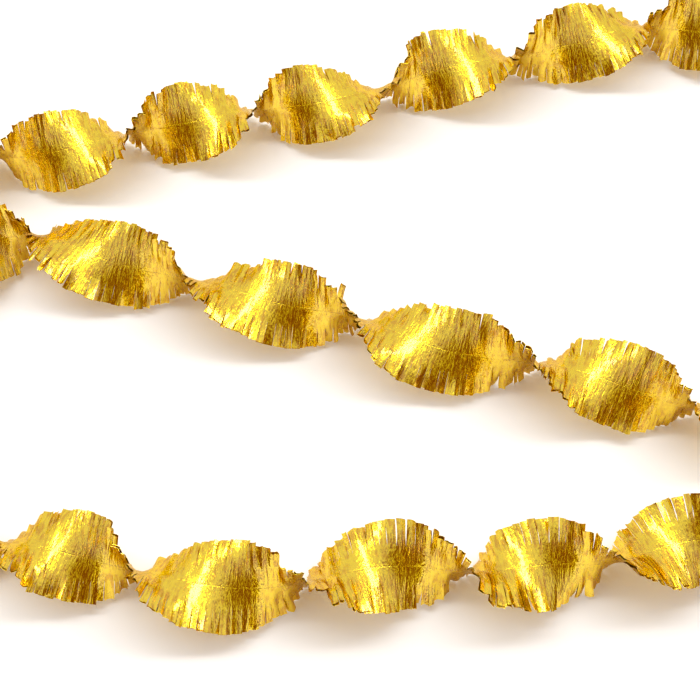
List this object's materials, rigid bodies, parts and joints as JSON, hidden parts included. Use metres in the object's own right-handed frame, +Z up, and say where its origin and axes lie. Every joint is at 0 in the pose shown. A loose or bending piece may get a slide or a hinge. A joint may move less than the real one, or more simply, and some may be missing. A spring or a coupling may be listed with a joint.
{
  "type": "crepe paper garland",
  "caption": "Twisted garland of fringed crepe paper strips, pressed together along the middle and laid in a zigzag, for decorating rooms and tables.",
  "frame": {"origin": "centre of the bounding box in plan, on the surface that the garland lies on", "axes": "+X to the right along the runs, +Y away from the viewer, +Z up from the surface"},
  "size_m": [0.712, 0.446, 0.048],
  "materials": {
    "gold_crepe": "metallic gold crepe paper with fine wrinkles across the strip"
  },
  "bodies": {
    "root": {"front_strip": "gold_crepe", "back_strip": "gold_crepe"}
  },
  "joints": []
}
